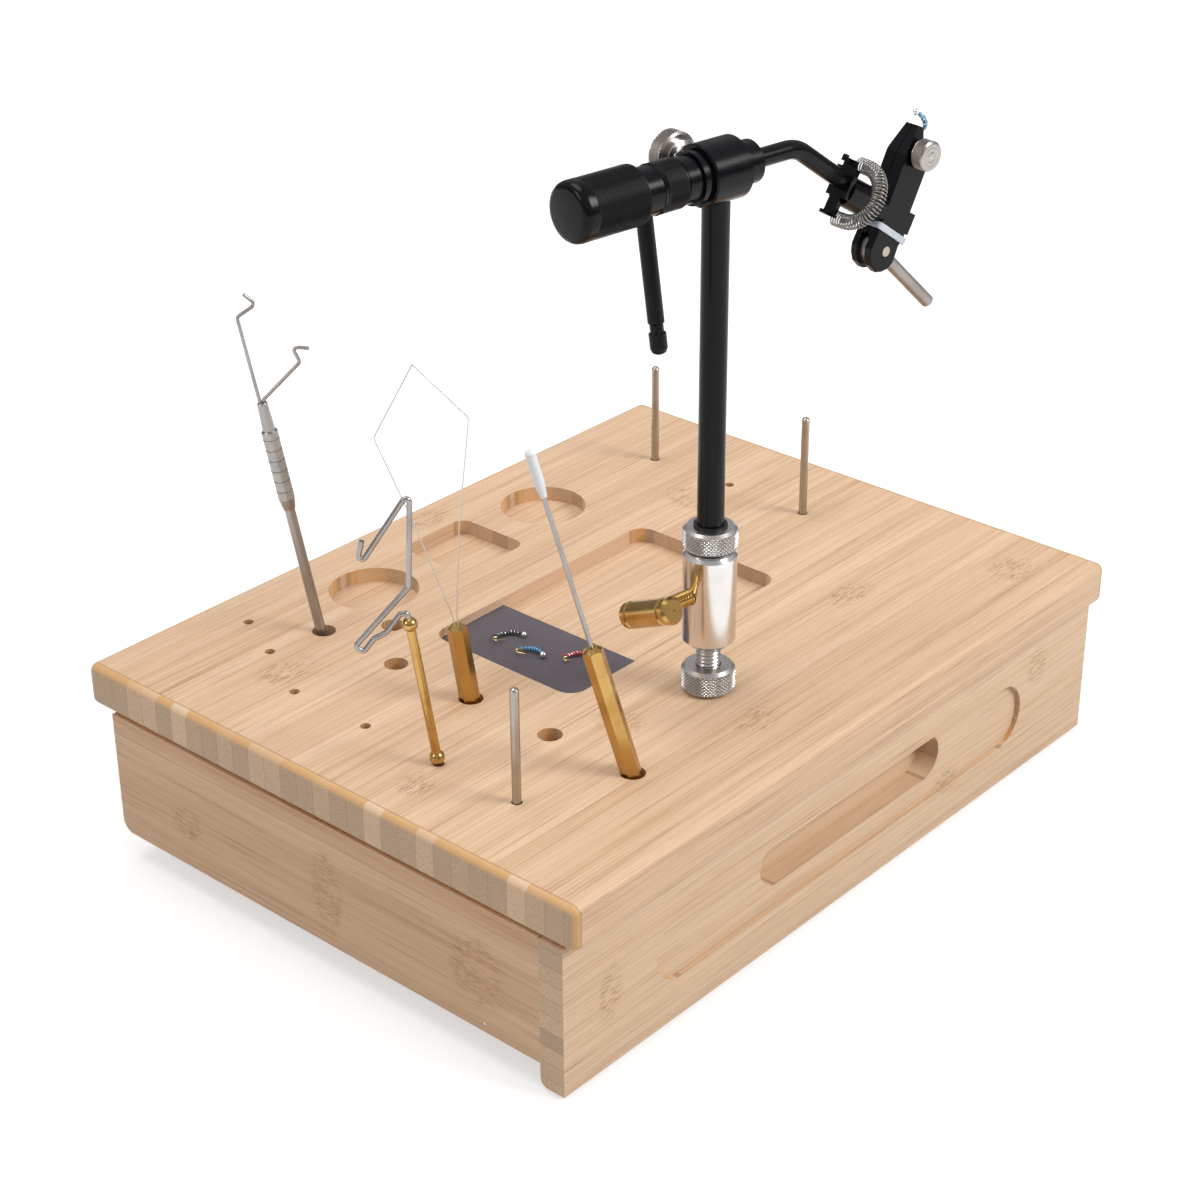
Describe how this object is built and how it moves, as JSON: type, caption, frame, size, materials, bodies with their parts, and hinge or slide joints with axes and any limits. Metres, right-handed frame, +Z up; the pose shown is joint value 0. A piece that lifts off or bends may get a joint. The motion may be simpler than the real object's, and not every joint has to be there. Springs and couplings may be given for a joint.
{
  "type": "fly tying cabinet",
  "caption": "Bamboo fly tying cabinet with a drawer, routed trays, a rotary vise on a post, spool pegs and hand tools standing in holes.",
  "frame": {"origin": "on the floor under the middle of the board", "axes": "+Z up, +X along the length of the board, -Y towards the drawer front"},
  "size_m": [0.312, 0.24, 0.2815],
  "materials": {
    "bamboo_board": "satin lacquer",
    "bamboo_case": "satin lacquer",
    "bamboo_drawer": "satin lacquer",
    "screw_steel": "zinc plated",
    "rubber_foot": "matte",
    "mat": "matte",
    "brass": "bright",
    "stud_steel": "plain",
    "turned_aluminium": "polished",
    "knurled_aluminium": "diamond knurled",
    "black_plastic": "plain",
    "black_anodised": "black anodised",
    "knurled_steel": "nickel plated, knurled",
    "polished_steel": "polished",
    "spring_steel": "wound wire",
    "lever_steel": "brushed",
    "clear_band": "translucent",
    "peg_steel": "brushed",
    "tool_steel": "polished",
    "white_plastic": "translucent white",
    "fly_blue": "wound thread",
    "fly_black": "wound thread",
    "fly_red": "wound thread"
  },
  "bodies": {
    "cabinet": {"top_board": "bamboo_board", "side_panel_left": "bamboo_case", "side_panel_right": "bamboo_case", "bottom_panel": "bamboo_case", "back_panel": "bamboo_case", "case_dowels": "bamboo_case", "case_brads": "screw_steel", "feet": "rubber_foot", "foot_screws": "screw_steel", "magnetic_mat": "mat", "board_insert": "brass", "base_stud": "stud_steel", "vise_sleeve": "turned_aluminium"},
    "drawer": {"drawer_front": "bamboo_drawer", "front_screws": "screw_steel", "drawer_box_front": "bamboo_drawer", "drawer_box_back": "bamboo_drawer", "drawer_box_left": "bamboo_drawer", "drawer_box_right": "bamboo_drawer", "drawer_box_floor": "bamboo_drawer"},
    "peg_1": {"spool_peg_1": "peg_steel"},
    "peg_2": {"spool_peg_2": "peg_steel"},
    "peg_3": {"spool_peg_3": "peg_steel"},
    "fly_a": {"fly_black": "fly_black"},
    "fly_b": {"fly_blue": "fly_blue"},
    "fly_c": {"fly_red": "fly_red"},
    "base_nut": {"base_nut": "knurled_aluminium"},
    "collar_nut": {"collar_nut": "knurled_aluminium"},
    "clamp": {"clamp_screw": "brass", "clamp_barrel": "brass"},
    "bush": {"post_bush": "black_plastic"},
    "post": {"post": "black_anodised", "housing": "black_anodised"},
    "lock_knob": {"lock_knob": "knurled_steel"},
    "rotor": {"rotor_shaft": "black_anodised", "rotor_collar": "black_anodised", "crank_neck": "black_anodised", "crank_knob": "black_anodised", "crank_rod": "black_anodised", "arm": "black_anodised", "spring_bar": "black_anodised", "material_spring": "spring_steel", "jaw_far": "black_anodised", "cam_pin": "polished_steel", "fly_in_jaws": "fly_blue"},
    "tension_ring": {"tension_ring": "black_anodised"},
    "near_jaw": {"jaw_near": "black_anodised", "jaw_band": "clear_band"},
    "jaw_screw": {"jaw_screw": "knurled_steel"},
    "cam_lever": {"cam_lever": "lever_steel"},
    "whip_rod": {"whip_rod": "tool_steel"},
    "whip_head": {"whip_grip": "tool_steel", "whip_hooks": "tool_steel"},
    "finisher": {"finisher_handle": "brass"},
    "finisher_wire": {"finisher_wire": "tool_steel"},
    "threader": {"threader_handle": "brass", "threader_loop": "tool_steel"},
    "needle": {"needle_handle": "brass", "needle": "tool_steel"},
    "needle_cap": {"needle_cap": "white_plastic"}
  },
  "joints": [
    {"name": "drawer_slide", "type": "slide", "parent": "cabinet", "child": "drawer", "axis": [0, -1, 0], "range_m": [0, 0.15]},
    {"name": "peg_1_lift", "type": "slide", "parent": "cabinet", "child": "peg_1", "axis": [0, 0, 1], "range_m": [0, 0.03]},
    {"name": "peg_2_lift", "type": "slide", "parent": "cabinet", "child": "peg_2", "axis": [0, 0, 1], "range_m": [0, 0.03]},
    {"name": "peg_3_lift", "type": "slide", "parent": "cabinet", "child": "peg_3", "axis": [0, 0, 1], "range_m": [0, 0.03]},
    {"name": "fly_a_lift", "type": "slide", "parent": "cabinet", "child": "fly_a", "axis": [0, 0, 1], "range_m": [0, 0.02]},
    {"name": "fly_b_lift", "type": "slide", "parent": "cabinet", "child": "fly_b", "axis": [0, 0, 1], "range_m": [0, 0.02]},
    {"name": "fly_c_lift", "type": "slide", "parent": "cabinet", "child": "fly_c", "axis": [0, 0, 1], "range_m": [0, 0.02]},
    {"name": "base_nut_turn", "type": "hinge", "parent": "cabinet", "child": "base_nut", "pos_m": [-0.02095, -0.0631, 0.083], "axis": [0, 0, 1], "continuous": true},
    {"name": "collar_turn", "type": "hinge", "parent": "cabinet", "child": "collar_nut", "pos_m": [-0.02095, -0.0631, 0.138], "axis": [0, 0, 1], "range_deg": [-180, 180]},
    {"name": "clamp_turn", "type": "hinge", "parent": "cabinet", "child": "clamp", "pos_m": [-0.02095, -0.0631, 0.118], "axis": [-0.9893, 0.1459, 0], "range_deg": [-180, 180]},
    {"name": "post_swivel", "type": "hinge", "parent": "cabinet", "child": "bush", "pos_m": [-0.02095, -0.0631, 0.118], "axis": [0, 0, 1], "range_deg": [-100, 100]},
    {"name": "post_height", "type": "slide", "parent": "bush", "child": "post", "axis": [0, 0, 1], "range_m": [0, 0.012]},
    {"name": "lock_turn", "type": "hinge", "parent": "post", "child": "lock_knob", "pos_m": [-0.01803, -0.04331, 0.271], "axis": [0.1459, 0.9893, 0], "range_deg": [-180, 180]},
    {"name": "head_spin", "type": "hinge", "parent": "post", "child": "rotor", "pos_m": [-0.02095, -0.0631, 0.271], "axis": [0.9893, -0.1459, 0], "continuous": true},
    {"name": "tension_turn", "type": "hinge", "parent": "rotor", "child": "tension_ring", "pos_m": [-0.0437, -0.05974, 0.271], "axis": [0.9893, -0.1459, 0], "range_deg": [-180, 180]},
    {"name": "cam_turn", "type": "hinge", "parent": "rotor", "child": "cam_lever", "pos_m": [0.05463, -0.07424, 0.2259], "axis": [0.1459, 0.9893, 0], "range_deg": [0, 100]},
    {"name": "jaw_open", "type": "slide", "parent": "rotor", "child": "near_jaw", "axis": [-0.1459, -0.9893, 0], "range_m": [0, 0.0005]},
    {"name": "jaw_screw_turn", "type": "hinge", "parent": "rotor", "child": "jaw_screw", "pos_m": [0.06756, -0.08322, 0.2584], "axis": [0.1459, 0.9893, 0], "range_deg": [-180, 180]},
    {"name": "whip_lift", "type": "slide", "parent": "cabinet", "child": "whip_rod", "axis": [-0.1232, 0.1086, 0.9864], "range_m": [0, 0.04]},
    {"name": "whip_spin", "type": "hinge", "parent": "whip_rod", "child": "whip_head", "pos_m": [-0.08312, 0.07263, 0.078], "axis": [-0.1232, 0.1086, 0.9864], "continuous": true},
    {"name": "finisher_lift", "type": "slide", "parent": "cabinet", "child": "finisher", "axis": [-0.0984, 0.096, 0.9905], "range_m": [0, 0.03]},
    {"name": "finisher_spin", "type": "hinge", "parent": "finisher", "child": "finisher_wire", "pos_m": [-0.1213, -0.0265, 0.078], "axis": [-0.0984, 0.096, 0.9905], "continuous": true},
    {"name": "threader_lift", "type": "slide", "parent": "cabinet", "child": "threader", "axis": [-0.0897, 0.09, 0.9919], "range_m": [0, 0.04]},
    {"name": "needle_lift", "type": "slide", "parent": "cabinet", "child": "needle", "axis": [-0.1699, 0.1975, 0.9655], "range_m": [0, 0.04]},
    {"name": "cap_pull", "type": "slide", "parent": "needle", "child": "needle_cap", "axis": [-0.1699, 0.1975, 0.9655], "range_m": [0, 0.02]}
  ],
  "couplings": [
    {"joint": "jaw_open", "follows": "cam_turn", "m_per_rad": 0.00028619}
  ]
}
